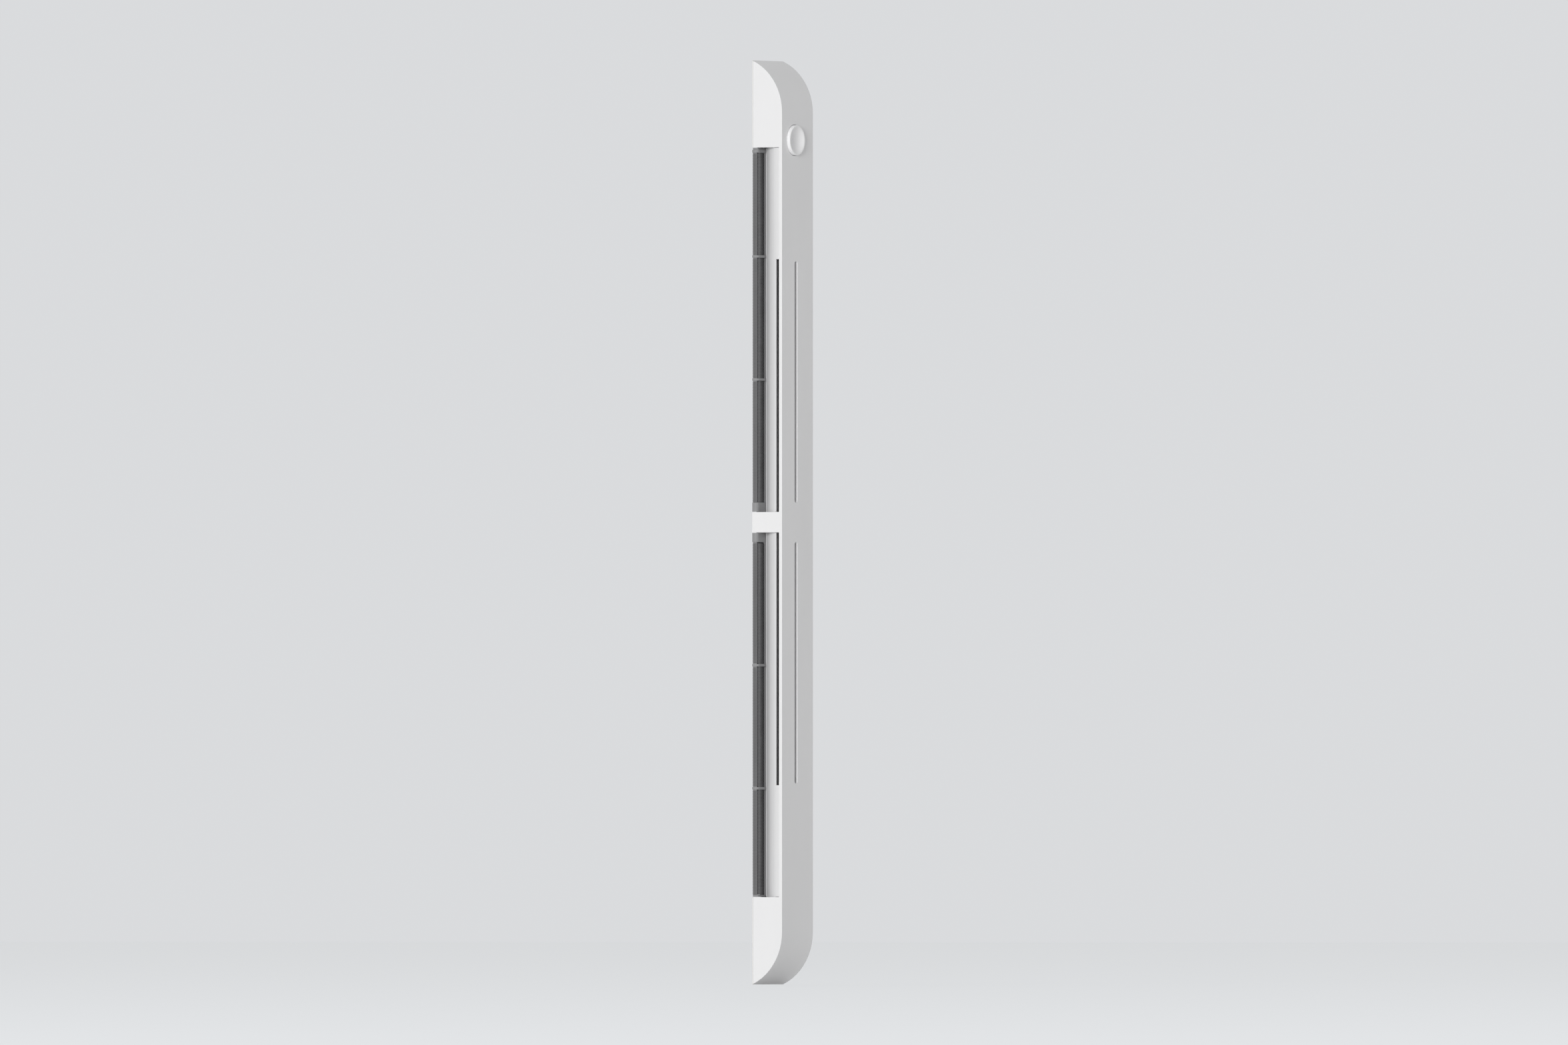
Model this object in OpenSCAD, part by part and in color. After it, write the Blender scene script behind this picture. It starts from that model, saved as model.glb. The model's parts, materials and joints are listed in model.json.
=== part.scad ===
// Slim window trickle vent that stands upright on the side wall of a window recess.
// X points out of that wall, Y runs from the room towards the window and Z is up.
// The origin is the centre of the face that lies on the wall.

/* [Casing] */
// Overall height of the casing
vent_h = 490; // [460:1:540]
// How far the casing stands out from the wall
vent_w = 18.5; // [18:0.1:21]
// Depth of the casing from its front to its back
vent_d = 32; // [31:0.5:40]
// Wall thickness of the cover
shell_t = 2; // [1.6:0.1:2.2]
// Radius of the curved ends
end_r = 30; // [28:0.5:36]
// Clearance between pieces that fit into each other
fit_gap = 0.2; // [0.15:0.05:0.3]

/* [Front opening] */
// Closed length at each end of the casing
open_margin = 46.3; // [45:0.1:56]
// Height of the bridge across the front opening
bridge_h = 10.9; // [6:0.1:16]

/* [Base] */
// Thickness of the flange that the cover stands on
lip_t = 0.6; // [0.5:0.1:0.9]
// Thickness of the base plate inside the cover
base_t = 2.4; // [2.2:0.1:2.8]
// Radius of the holes for the wall screws
fix_r = 2.25; // [1.75:0.05:2.75]
// Distance between the two holes for the wall screws
fix_spacing = 300; // [240:5:320]
// Distance from the front to the holes for the wall screws
fix_back = 24.5; // [24:0.1:25.5]
// Thickness of the foam seal let into the back of the base
seal_t = 0.8; // [0.5:0.1:1]
// Width of that seal
seal_w = 1.6; // [1.2:0.1:1.8]

/* [Air guide] */
// Thickness of the air guide
guide_t = 1.2; // [1:0.1:1.4]
// How far the air guide swells from a straight line
guide_bulge = 1; // [0.6:0.1:1.6]
// Width of the slot along the air guide's front edge
guide_slot_w = 2.5; // [1:0.1:3]
// Half the length of that slot
guide_slot_half = 139.4; // [100:0.1:160]
// Width of the foot that is screwed to the base
guide_foot = 7; // [6.8:0.1:7.4]

/* [Side slots] */
// Width of the two slots in the side of the cover
side_slot_w = 2.8; // [1:0.1:3]
// Length of each side slot
side_slot_len = 128; // [80:1:150]
// Distance from the front to the middle of the side slots
side_slot_back = 14.6; // [13:0.1:15]

/* [Air control] */
// Width of the cassette that holds the air control
cassette_w = 8.9; // [8.7:0.1:9.2]
// Height of the cassette above the wall
cassette_t = 3.2; // [3.1:0.1:3.4]
// Width of the cassette's front rail
front_rail = 1.2; // [1:0.1:1.4]
// Width of the cassette's back rail and end walls
back_rail = 1; // [0.8:0.1:1.2]
// Height of the bar between the two duct windows
centre_bar = 21; // [18:0.5:28]
// Distance from one window rib to the next
rib_pitch = 65.25; // [50:0.25:80]
// Width of a window rib
rib_w = 1.3; // [1:0.1:3]
// Distance from one air slot to the next
slot_pitch = 9; // [8.6:0.1:10]
// Width of an air slot
slot_w = 4.2; // [3:0.1:4.2]
// How far the shutter slides to open
shutter_travel = 4.5; // [4.3:0.1:4.8]
// Thickness of the shutter strip
shutter_t = 0.9; // [0.7:0.1:1]
// Thickness of the fixed slotted grids
grid_t = 0.9; // [0.6:0.1:1]
// Thickness of the insect screens
screen_t = 0.5; // [0.3:0.1:0.5]
// Width of the strands of the insect screens
strand_w = 0.5; // [0.3:0.1:0.8]
// Radius of the fold of the insect screens over the front rail
fold_r = 1.6; // [1:0.1:1.6]
// Radius of the return spring
return_r = 2.2; // [1.8:0.1:2.4]

/* [Button] */
// Radius of the button
button_r = 8.1; // [7.5:0.1:8.4]
// Distance from the front to the middle of the button
button_back = 13.2; // [13:0.1:13.6]
// Height of the button's middle above the front opening
button_rise = 3.9; // [3.9:0.1:5]
// How far the button stands out of the cover
button_proud = 1.8; // [1.5:0.1:2.5]
// Depth of the dish in the button
button_dish = 2.4; // [1.4:0.1:2.4]
// How far the button is pushed in
button_travel = 3; // [2.7:0.1:3]
// Width of the stem behind the button
stem_w = 6; // [5.6:0.1:6.2]
// Height of the stem
stem_h = 4.8; // [4.7:0.1:4.9]
// Radius of the latch wire
latch_r = 0.4; // [0.35:0.05:0.45]
// Angle that the latch wire swings
latch_swing = 11; // [9:0.5:12]

/* [Hidden] */
$fn = 72;
cut = 1;
front_y = -vent_d / 2;
back_y = vent_d / 2;
half_h = vent_h / 2;
end_x = vent_w - end_r;
end_z = half_h - sqrt(end_r * end_r - end_x * end_x);
in_x = vent_w - shell_t;
in_front = front_y + shell_t;
in_back = back_y - shell_t;
open_half = half_h - open_margin;
bar_half = centre_bar / 2;
fix_y = front_y + fix_back;

// Cassette of the air control: duct windows, grids, shutter and screens in layers from the wall
layer_gap = 0.3;
cassette_y0 = front_y + fit_gap;
cassette_y1 = cassette_y0 + cassette_w;
cassette_end = open_half - fit_gap;
win_y0 = cassette_y0 + front_rail;
win_y1 = cassette_y1 - back_rail;
win_w = win_y1 - win_y0;
win_end = cassette_end - back_rail;
grid_x = 0.1;
shutter_x = grid_x + grid_t + layer_gap;
screen_x = shutter_x + shutter_t + layer_gap;
screen_gap = 0.1;
screen_y = cassette_y0 + screen_gap / 2;
screen_low = 2 * screen_gap;
screen_top = screen_x + screen_t;
rail_y = screen_y + screen_t + screen_gap;
nose_r = fold_r + cassette_t - screen_top;
rib_t = 0.3;
rib_end_room = 20;
end_rib_w = 1.5;
rib_rows = [for (z = [bar_half + rib_pitch : rib_pitch : open_half - rib_end_room]) [z, rib_w]];
end_rib = [win_end - end_rib_w / 2, end_rib_w];
slot_rim = 1.2;
slot_first = bar_half + slot_rim + slot_w;
slot_last = win_end - slot_rim - slot_w - shutter_travel;
strand_pitch_y = 2;
strand_pitch_z = 6;
neck_half = bridge_h / 2 + shutter_travel + 1;
neck_y = in_front + 2 * fit_gap;
tail_w = 4.6;
tail_y1 = win_y1 - layer_gap;
tail_y0 = tail_y1 - tail_w;
tail_room = 0.5;

// Air guide: a shallow arc from the back of the windows to the cover's front edge
guide_edge = 0.4;
guide_end = open_half - fit_gap;
guide_y = cassette_y1 + fit_gap;
guide_root = [cassette_t + fit_gap, guide_y];
guide_tip = [in_x - fit_gap, front_y + guide_edge];
guide_chord = norm(guide_tip - guide_root);
guide_r = (guide_chord * guide_chord / 4 + guide_bulge * guide_bulge) / (2 * guide_bulge);
guide_along = (guide_tip - guide_root) / guide_chord;
guide_behind = [-guide_along[1], guide_along[0]];
guide_centre = (guide_root + guide_tip) / 2 + guide_behind * (guide_r - guide_bulge);
guide_tab = 2.2;
foot_t = 1.2;
guide_screw_z = [60, 170];
guide_screw_y = guide_y + guide_foot - 2.5;

// Screws
screw_r = 0.95;
screw_hole_r = 1;
screw_head_r = 1.9;
screw_head_t = 1.2;
screw_tip_x = 0.5;
screw_slot_w = 0.5;

// Button, stem and bracket
button_y = front_y + button_back;
button_z = open_half + button_rise;
button_gap = 0.2;
button_flange = 0.9;
button_flange_t = 1.2;
button_edge_r = 0.6;
button_top = vent_w + button_proud;
flange_top = in_x - layer_gap;
flange_x = flange_top - button_flange_t;
cap_hollow_r = button_r - 1.6;
cap_roof = 1.2;
cap_in = button_top - button_dish - cap_roof;
dish_rim = 1;
dish_half = button_r - dish_rim;
dish_r = (dish_half * dish_half + button_dish * button_dish) / (2 * button_dish);
stem_gap = 0.25;
stem_floor = 0.6;
stem_x = base_t + stem_floor + button_travel;
bracket_t = 1;
bracket_top = flange_x - button_travel - 0.6;
cheek_in = stem_w / 2 + stem_gap;
cheek_out = cheek_in + bracket_t;
cheek_low = stem_h / 2 + stem_gap + bracket_t;
cheek_high = 4.2;
ear_z0 = 0.8;
ear_z1 = 5.8;
ear_t = 1.5;
ear_gap = 1.6;
ear_reach = in_back - ear_gap - button_y;
// The room that two screw heads leave along the ear is shared out before, between and behind them
ear_room = ear_reach - cheek_out - 4 * screw_head_r;
ear_before = ear_room * 29 / 67;
ear_behind = ear_room * 18 / 67;
ear_screw_y = [cheek_out + screw_head_r + ear_before, ear_reach - screw_head_r - ear_behind];
ear_screw_z = (ear_z0 + ear_z1) / 2;

// Wedge on the stem and lug on the shutter
wedge_slope = shutter_travel / button_travel;
wedge_end = bracket_top - 0.2;
wedge_gap = 0.3 * sqrt(1 + wedge_slope * wedge_slope);
lug_head_x0 = base_t + 1.8;
lug_head_x1 = wedge_end - button_travel;
lug_rise = 7;
lug_h = 7;
lug_z0 = button_z + lug_rise;
lug_z1 = lug_z0 + lug_h;
lug_foot_t = 1;
lug_foot_x = shutter_x + shutter_t;
lug_foot_over = 3.6;
lug_head_side = 0.55;
lug_top = lug_z1 + lug_foot_over;
rivet_r = 0.85;
rivet_hole_r = 0.9;
rivet_head_r = 1.5;
rivet_head_t = 0.7;
rivet_y = (tail_y0 + tail_y1) / 2;
rivet_z = [lug_z0 - lug_foot_over / 2, lug_z1 + lug_foot_over / 2];

// Return spring and its anchor
return_wire = 0.35;
return_x = (lug_head_x0 + lug_head_x1) / 2;
return_turns = 5;
anchor_gap = 12.4;
anchor_z = lug_z1 + anchor_gap;
anchor_t = 1.4;
anchor_foot = 7;
anchor_half = 3;
anchor_screw_z = anchor_z + anchor_t + anchor_foot / 2;
anchor_top = return_x + return_r + 0.6;

// Button spring
spring_r = norm([stem_w, stem_h]) / 2 + 0.9;
spring_wire = 0.3;
spring_turns = 3;

// Latch wire and the heart-shaped groove it follows
latch_room = 0.25;
latch_pivot_x = base_t + 1.5;
latch_tip_x = bracket_top - 1.8;
latch_arm = latch_tip_x - latch_pivot_x;
latch_y = button_y + cheek_out + layer_gap + latch_r;
latch_rise = latch_arm * sin(latch_swing);
latch_run = button_travel - latch_arm * (1 - cos(latch_swing));
groove_w = 2 * (latch_r + latch_room);
groove_depth = 1.2;
groove_notch = 0.6;
latch_bore_r = latch_r + 0.05;
latch_window = 0.9;

// Clips between base and cover
clip_inset = 8;
clip_h = 7.6;
clip_z = [-open_half + clip_inset, 0, open_half - clip_inset];
clip_half = 4;
clip_t = 1;
clip_foot = 4;
clip_top = base_t + clip_h;
clip_bump_r = 0.6;
clip_bump_x = clip_top - 1.6;
clip_y = in_back - 0.4;

// Foam seal in the back of the base, open towards the front
seal_y1 = guide_y + 2.9;
seal_y0 = in_front + 1.4;
seal_room = 5;
seal_half = lug_top + shutter_travel + seal_room;

// Foam glued into the cover
foam_lift = 3.6;
foam_back = 18;
foam_end_room = 18;
foam_x = base_t + foam_lift;
foam_y = front_y + foam_back;
foam_z0 = 8;
foam_z1 = open_half - foam_end_room;

// A box between two corners
module block(low, high) {
    translate(low) cube(high - low);
}

// A flat outline in X and Z, made solid from y0 to y1
module prism_y(y0, y1) {
    translate([0, y1, 0]) rotate([90, 0, 0]) linear_extrude(y1 - y0) children();
}

// A flat outline in Y and Z, made solid from x0 to x1
module prism_x(x0, x1) {
    translate([x0, 0, 0]) rotate([90, 0, 90]) linear_extrude(x1 - x0) children();
}

// A round disc or hole along X
module disc_x(x0, x1, r, y, z) {
    translate([x0, y, z]) rotate([0, 90, 0]) cylinder(h = x1 - x0, r = r);
}

module both_halves() {
    children();
    mirror([0, 0, 1]) children();
}

// A flat slot with round ends, from one point to another
module slot_outline(from, to, width) {
    along = to - from;
    translate(from) circle(width / 2);
    translate(to) circle(width / 2);
    translate(from) rotate(atan2(along[1], along[0]))
        translate([0, -width / 2]) square([norm(along), width]);
}

// Outline of the casing seen from the front, drawn in by inset, between two distances from the wall
module casing_outline(inset, from_x, to_x) {
    r = end_r - inset;
    intersection() {
        translate([from_x, -half_h]) square([min(to_x, vent_w - inset) - from_x, vent_h]);
        union() {
            translate([vent_w - inset - 2 * r, -end_z]) square([2 * r, 2 * end_z]);
            translate([end_x, end_z]) circle(r);
            translate([end_x, -end_z]) circle(r);
        }
    }
}

// A coil of wire round Z, from 0 to length
module coil(r, wire_r, turns, length) {
    steps = 16 * turns;
    sides = 6;
    rings = [for (i = [0:steps], j = [0:sides - 1])
        let (a = 360 * turns * i / steps, b = 360 * j / sides, out = r + wire_r * cos(b))
        [out * cos(a), out * sin(a), wire_r + (length - 2 * wire_r) * i / steps + wire_r * sin(b)]];
    skin = [for (i = [0:steps - 1], j = [0:sides - 1])
        let (k = (j + 1) % sides)
        [i * sides + j, i * sides + k, (i + 1) * sides + k, (i + 1) * sides + j]];
    first = [for (j = [sides - 1:-1:0]) j];
    last = [for (j = [0:sides - 1]) steps * sides + j];
    polyhedron(points = rings, faces = concat(skin, [first, last]), convexity = 6);
}

// A pan-head screw along X, head on the surface at seat_x
module screw(seat_x, y, z) {
    difference() {
        union() {
            disc_x(screw_tip_x, seat_x, screw_r, y, z);
            disc_x(seat_x, seat_x + screw_head_t, screw_head_r, y, z);
        }
        block([seat_x + screw_head_t / 2, y - screw_head_r, z - screw_slot_w / 2],
            [seat_x + screw_head_t + cut, y + screw_head_r, z + screw_slot_w / 2]);
    }
}

module screw_hole(y, z) {
    disc_x(screw_tip_x - 0.1, base_t + foot_t + cut, screw_hole_r, y, z);
}

module cover_shell() {
    color("white") difference() {
        union() {
            prism_y(front_y, back_y) casing_outline(0, lip_t, vent_w);
            block([0, front_y, -bridge_h / 2], [in_x, in_front, bridge_h / 2]);
        }
        prism_y(in_front, in_back) casing_outline(shell_t, -cut, vent_w);
        both_halves() block([-cut, front_y - cut, bridge_h / 2], [in_x, in_front + cut, open_half]);
        both_halves() side_slot();
        disc_x(in_x - cut, vent_w + cut, button_r + button_gap, button_y, button_z);
        for (z = clip_z) clip_recess(z);
    }
}

module side_slot() {
    y = front_y + side_slot_back;
    z0 = bar_half + side_slot_w / 2;
    z1 = bar_half + side_slot_len - side_slot_w / 2;
    prism_x(in_x - cut, vent_w + cut) slot_outline([y, z0], [y, z1], side_slot_w);
}

module clip_recess(z) {
    reach = clip_bump_r + layer_gap;
    block([clip_bump_x - reach, in_back - cut, z - clip_half - layer_gap],
        [clip_bump_x + reach, clip_y + clip_bump_r + layer_gap, z + clip_half + layer_gap]);
}

module mounting_base() {
    color("whitesmoke") difference() {
        union() {
            prism_y(front_y, back_y) casing_outline(0, 0, lip_t);
            prism_y(in_front + fit_gap, in_back - fit_gap) casing_outline(shell_t + fit_gap, 0, base_t);
        }
        block([-cut, front_y - cut, -open_half], [base_t + cut, cassette_y1 + fit_gap, open_half]);
        block([-cut, tail_y0 - tail_room, 0],
            [base_t + cut, tail_y1 + tail_room, lug_top + shutter_travel + tail_room]);
        both_halves() disc_x(-cut, base_t + cut, fix_r, fix_y, fix_spacing / 2);
        both_halves() for (z = guide_screw_z) screw_hole(guide_screw_y, z);
        for (y = ear_screw_y) screw_hole(button_y + y, button_z + ear_screw_z);
        screw_hole(button_y, anchor_screw_z);
        seal_strip(-cut, seal_t, 0);
    }
}

// The seal's run along the back of the base, narrower by the gap on each side
module seal_strip(x0, x1, gap) {
    prism_x(x0, x1) difference() {
        translate([seal_y0, -seal_half + gap]) square([seal_y1 - seal_y0 - gap, 2 * (seal_half - gap)]);
        translate([seal_y0 - cut, -seal_half + seal_w - gap])
            square([seal_y1 - seal_y0 - seal_w + cut + gap, 2 * (seal_half - seal_w + gap)]);
    }
}

module air_guide() {
    color("white") difference() {
        union() {
            translate([0, 0, -guide_end]) linear_extrude(2 * guide_end) guide_profile();
            both_halves() translate([0, 0, guide_end - cut])
                linear_extrude(guide_tab + cut) guide_tab_profile();
            block([base_t, guide_y, -guide_end], [base_t + foot_t, guide_y + guide_foot, guide_end]);
        }
        block([in_x - guide_slot_w, front_y - cut, -guide_slot_half],
            [in_x + cut, in_back, guide_slot_half]);
        block([-cut, front_y - cut, -bridge_h / 2 - fit_gap],
            [vent_w, in_front + fit_gap, bridge_h / 2 + fit_gap]);
        both_halves() for (z = guide_screw_z) screw_hole(guide_screw_y, z);
    }
}

// The curved plate in X and Y
module guide_profile() {
    intersection() {
        difference() {
            translate(guide_centre) circle(guide_r, $fn = 360);
            translate(guide_centre) circle(guide_r - guide_t, $fn = 360);
        }
        translate([base_t, front_y + guide_edge]) square([guide_tip[0] - base_t, vent_d / 2]);
    }
}

// The part of the curved plate that reaches on behind the cover's front, clear of the button's bracket
module guide_tab_profile() {
    y0 = in_front + fit_gap;
    y1 = min(guide_y, button_y - cheek_out) - layer_gap;
    intersection() {
        guide_profile();
        translate([0, y0]) square([vent_w, y1 - y0]);
    }
}

module guide_screws() {
    color("silver") both_halves() for (z = guide_screw_z) screw(base_t + foot_t, guide_screw_y, z);
}

// The cassette's section in X and Y, from a front face to a back face, with its front edge rounded
module nose_profile(y0, y1, top, r) {
    intersection() {
        translate([0, y0]) square([top, y1 - y0]);
        union() {
            translate([top - r, y0 + r]) circle(r);
            translate([0, y0]) square([top - r, y1 - y0]);
            translate([0, y0 + r]) square([top, y1 - y0 - r]);
        }
    }
}

// The frame of the air control, with a bar and ribs across the duct windows
module control_cassette() {
    color("gray") difference() {
        union() {
            difference() {
                translate([0, 0, -cassette_end]) linear_extrude(2 * cassette_end) cassette_profile();
                block([-cut, win_y0, -win_end], [vent_w, win_y1, win_end]);
                both_halves() screen_seat();
            }
            translate([0, 0, -bar_half]) linear_extrude(centre_bar) difference() {
                cassette_profile();
                square([2 * screen_x, vent_d], center = true);
            }
            both_halves() for (rib = rib_rows) window_rib(rib);
            window_rib(end_rib);
        }
        block([-cut, front_y - cut, -bridge_h / 2 - fit_gap],
            [vent_w, in_front + fit_gap, bridge_h / 2 + fit_gap]);
        block([shutter_x - layer_gap, tail_y0 - layer_gap, win_end - cut],
            [shutter_x + shutter_t + layer_gap, tail_y1 + layer_gap, cassette_end + cut]);
    }
}

module cassette_profile() {
    nose_profile(cassette_y0, cassette_y1, cassette_t, nose_r);
}

// Room for the screen, which is folded over the cassette's front rail
module screen_seat() {
    block([-cut, front_y - cut, bar_half], [vent_w, rail_y, cassette_end + cut]);
    translate([0, 0, bar_half]) linear_extrude(win_end - bar_half) difference() {
        translate([-cut, front_y]) square([vent_w, win_y0 + cut - front_y]);
        nose_profile(rail_y, cassette_y1, screen_x - screen_gap, fold_r - screen_t - screen_gap);
    }
}

// A rib over the window and down the cassette's front, given by its height and width
module window_rib(rib) {
    translate([0, 0, rib[0] - rib[1] / 2]) linear_extrude(rib[1]) difference() {
        nose_profile(cassette_y0, win_y1 + back_rail / 2, cassette_t + rib_t, nose_r + rib_t);
        intersection() {
            nose_profile(screen_y - screen_gap, win_y1, screen_top + screen_gap, fold_r + screen_gap);
            translate([0, win_y0]) square([vent_w, win_w]);
        }
    }
}

// A fine screen across one duct window, folded down over its front rail and parted at the ribs
module insect_screen(ribs) {
    z0 = bar_half + fit_gap / 2;
    tall = win_end - bar_half - fit_gap;
    rows = floor((tall - strand_w) / strand_pitch_z);
    y0 = screen_y + fold_r;
    y1 = win_y1 - fit_gap / 2 - strand_w;
    columns = floor((y1 - y0) / strand_pitch_y);
    color("dimgray") difference() {
        union() {
            for (i = [0:rows]) translate([0, 0, z0 + i * (tall - strand_w) / rows])
                linear_extrude(strand_w) screen_profile();
            for (i = [0:columns]) translate([screen_x, y0 + i * (y1 - y0) / columns, z0])
                cube([screen_t, strand_w, tall]);
            translate([screen_low, screen_y, z0]) cube([strand_w, screen_t, tall]);
        }
        for (rib = ribs) block([-cut, front_y, rib[0] - rib[1] / 2 - screen_gap],
            [vent_w, win_y0 + screen_gap, rib[0] + rib[1] / 2 + screen_gap]);
    }
}

// One cross strand of the folded screen, in X and Y
module screen_profile() {
    y1 = win_y1 - fit_gap / 2;
    difference() {
        nose_profile(screen_y, y1, screen_top, fold_r);
        nose_profile(screen_y + screen_t, y1 + cut, screen_x, fold_r - screen_t);
        square([2 * screen_low, vent_d], center = true);
    }
}

module insect_screen_upper() {
    insect_screen(concat(rib_rows, [end_rib]));
}

module insect_screen_lower() {
    mirror([0, 0, 1]) insect_screen(rib_rows);
}

// The row of air slots of the upper half, in Y and Z
module air_slots() {
    for (z = [slot_first : slot_pitch : slot_last])
        translate([win_y0 + slot_rim, z - slot_w / 2]) square([win_w - 2 * slot_rim, slot_w]);
}

module slotted_grid() {
    color("gray") prism_x(grid_x, grid_x + grid_t) difference() {
        translate([win_y0 + fit_gap / 2, bar_half])
            square([win_w - fit_gap, win_end - bar_half - fit_gap / 2]);
        air_slots();
    }
}

module slotted_grid_upper() {
    slotted_grid();
}

module slotted_grid_lower() {
    mirror([0, 0, 1]) slotted_grid();
}

module shutter_strip() {
    low = win_end - layer_gap;
    high = low - shutter_travel;
    color("gainsboro") difference() {
        prism_x(shutter_x, shutter_x + shutter_t) difference() {
            union() {
                translate([win_y0 + layer_gap, -low]) square([win_w - 2 * layer_gap, low + high]);
                translate([tail_y0, 0]) square([tail_w, lug_top]);
            }
            translate([win_y0, -neck_half]) square([neck_y - win_y0, 2 * neck_half - shutter_travel]);
            translate([0, -shutter_travel]) {
                air_slots();
                mirror([0, 1]) air_slots();
            }
        }
        for (z = rivet_z) disc_x(shutter_x - cut, lug_foot_x + cut, rivet_hole_r, rivet_y, z);
    }
}

module shutter_lug() {
    head_y0 = button_y - cheek_in + lug_head_side;
    head_y1 = button_y + cheek_in - lug_head_side;
    foot_x1 = lug_foot_x + lug_foot_t;
    low = button_z + stem_h / 2 + wedge_gap;
    color("gainsboro") difference() {
        union() {
            block([lug_foot_x, tail_y0, lug_z0 - lug_foot_over], [foot_x1, tail_y1, lug_top]);
            block([lug_foot_x, tail_y0, lug_z0], [lug_head_x1, tail_y1, lug_z1]);
            block([lug_head_x0, tail_y0, lug_z0], [lug_head_x1, head_y1, lug_z1]);
            prism_y(head_y0, head_y1) polygon([
                [lug_head_x0, low + wedge_slope * (lug_head_x0 - stem_x)],
                [lug_head_x1, low + wedge_slope * (lug_head_x1 - stem_x)],
                [lug_head_x1, lug_z1], [lug_head_x0, lug_z1]]);
        }
        for (z = rivet_z) disc_x(lug_foot_x - cut, foot_x1 + cut, rivet_hole_r, rivet_y, z);
    }
}

module lug_rivets() {
    foot_x1 = lug_foot_x + lug_foot_t;
    color("silver") for (z = rivet_z) {
        disc_x(shutter_x - rivet_head_t, shutter_x, rivet_head_r, rivet_y, z);
        disc_x(shutter_x, foot_x1, rivet_r, rivet_y, z);
        disc_x(foot_x1, foot_x1 + rivet_head_t, rivet_head_r, rivet_y, z);
    }
}

module return_spring() {
    color("silver") translate([return_x, button_y, lug_z1])
        coil(return_r, return_wire, return_turns, anchor_gap);
}

module spring_anchor() {
    color("gainsboro") difference() {
        union() {
            block([base_t, button_y - anchor_half, anchor_z],
                [anchor_top, button_y + anchor_half, anchor_z + anchor_t]);
            block([base_t, button_y - anchor_half, anchor_z],
                [base_t + ear_t, button_y + anchor_half, anchor_z + anchor_t + anchor_foot]);
        }
        disc_x(base_t - cut, base_t + ear_t + cut, screw_hole_r, button_y, anchor_screw_z);
    }
}

module control_button() {
    color("white") translate([0, button_y, button_z]) rotate([0, 90, 0]) difference() {
        rotate_extrude() {
            translate([0, flange_x]) square([button_r + button_flange, button_flange_t]);
            translate([0, flange_x]) square([button_r, button_top - button_edge_r - flange_x]);
            translate([0, flange_x]) square([button_r - button_edge_r, button_top - flange_x]);
            translate([button_r - button_edge_r, button_top - button_edge_r]) circle(button_edge_r);
        }
        translate([0, 0, button_top - button_dish + dish_r]) sphere(dish_r, $fn = 180);
        translate([0, 0, flange_x - cut]) cylinder(h = cap_in - flange_x + cut, r = cap_hollow_r);
    }
}

module button_stem() {
    low = button_z + stem_h / 2;
    color("gainsboro") difference() {
        union() {
            block([stem_x, button_y - stem_w / 2, button_z - stem_h / 2],
                [cap_in, button_y + stem_w / 2, button_z + stem_h / 2]);
            prism_y(button_y - stem_w / 2, button_y + stem_w / 2) polygon([
                [stem_x, low], [wedge_end, low + wedge_slope * (wedge_end - stem_x)],
                [wedge_end, low - stem_h / 4], [stem_x, low - stem_h / 4]]);
        }
        prism_y(button_y + stem_w / 2 - groove_depth, button_y + stem_w / 2 + cut) latch_groove();
    }
}

// The heart-shaped loop that the latch wire's tip follows, in X and Z
module latch_groove() {
    start = [latch_tip_x, button_z];
    notch = [latch_tip_x + latch_run - groove_notch, button_z];
    for (s = [-1, 1]) {
        far = [latch_tip_x + latch_run, button_z + s * latch_rise];
        slot_outline(start, far, groove_w);
        slot_outline(far, notch, groove_w);
    }
}

module button_spring() {
    color("silver") translate([bracket_top, button_y, button_z]) rotate([0, 90, 0])
        coil(spring_r, spring_wire, spring_turns, cap_in - bracket_top);
}

module button_bracket() {
    color("gainsboro") translate([0, button_y, button_z]) difference() {
        union() {
            block([base_t, -cheek_out, -cheek_low], [bracket_top, -cheek_in, cheek_high]);
            block([base_t, cheek_in, -cheek_low], [bracket_top, cheek_out, cheek_high]);
            block([base_t, -cheek_out, -cheek_low], [bracket_top, cheek_out, -cheek_low + bracket_t]);
            block([base_t, cheek_in, ear_z0], [base_t + ear_t, ear_reach, ear_z1]);
        }
        block([latch_tip_x - latch_window, cheek_in - cut, -latch_rise - latch_window],
            [latch_tip_x + latch_window, cheek_out + cut, latch_rise + latch_window]);
        translate([latch_pivot_x, cheek_out + cut, 0]) rotate([90, 0, 0])
            cylinder(h = bracket_t + 2 * cut, r = latch_bore_r);
        for (y = ear_screw_y) disc_x(base_t - cut, base_t + ear_t + cut, screw_hole_r, y, ear_screw_z);
    }
}

module latch_wire() {
    color("silver") translate([0, 0, button_z]) {
        latch_rod([latch_pivot_x, button_y + cheek_in + latch_room, 0], [latch_pivot_x, latch_y, 0]);
        latch_rod([latch_pivot_x, latch_y, 0], [latch_tip_x, latch_y, 0]);
        latch_rod([latch_tip_x, latch_y, 0],
            [latch_tip_x, button_y + stem_w / 2 - groove_depth + latch_room, 0]);
        for (x = [latch_pivot_x, latch_tip_x]) translate([x, latch_y, 0]) sphere(latch_r);
    }
}

// A straight piece of the latch wire, along X or Y
module latch_rod(from, to) {
    along = to - from;
    turn = along[0] != 0 ? [0, 90, 0] : [along[1] > 0 ? -90 : 90, 0, 0];
    translate(from) rotate(turn) cylinder(h = norm(along), r = latch_r);
}

module bracket_screws() {
    color("silver") {
        for (y = ear_screw_y) screw(base_t + ear_t, button_y + y, button_z + ear_screw_z);
        screw(base_t + ear_t, button_y, anchor_screw_z);
    }
}

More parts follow.
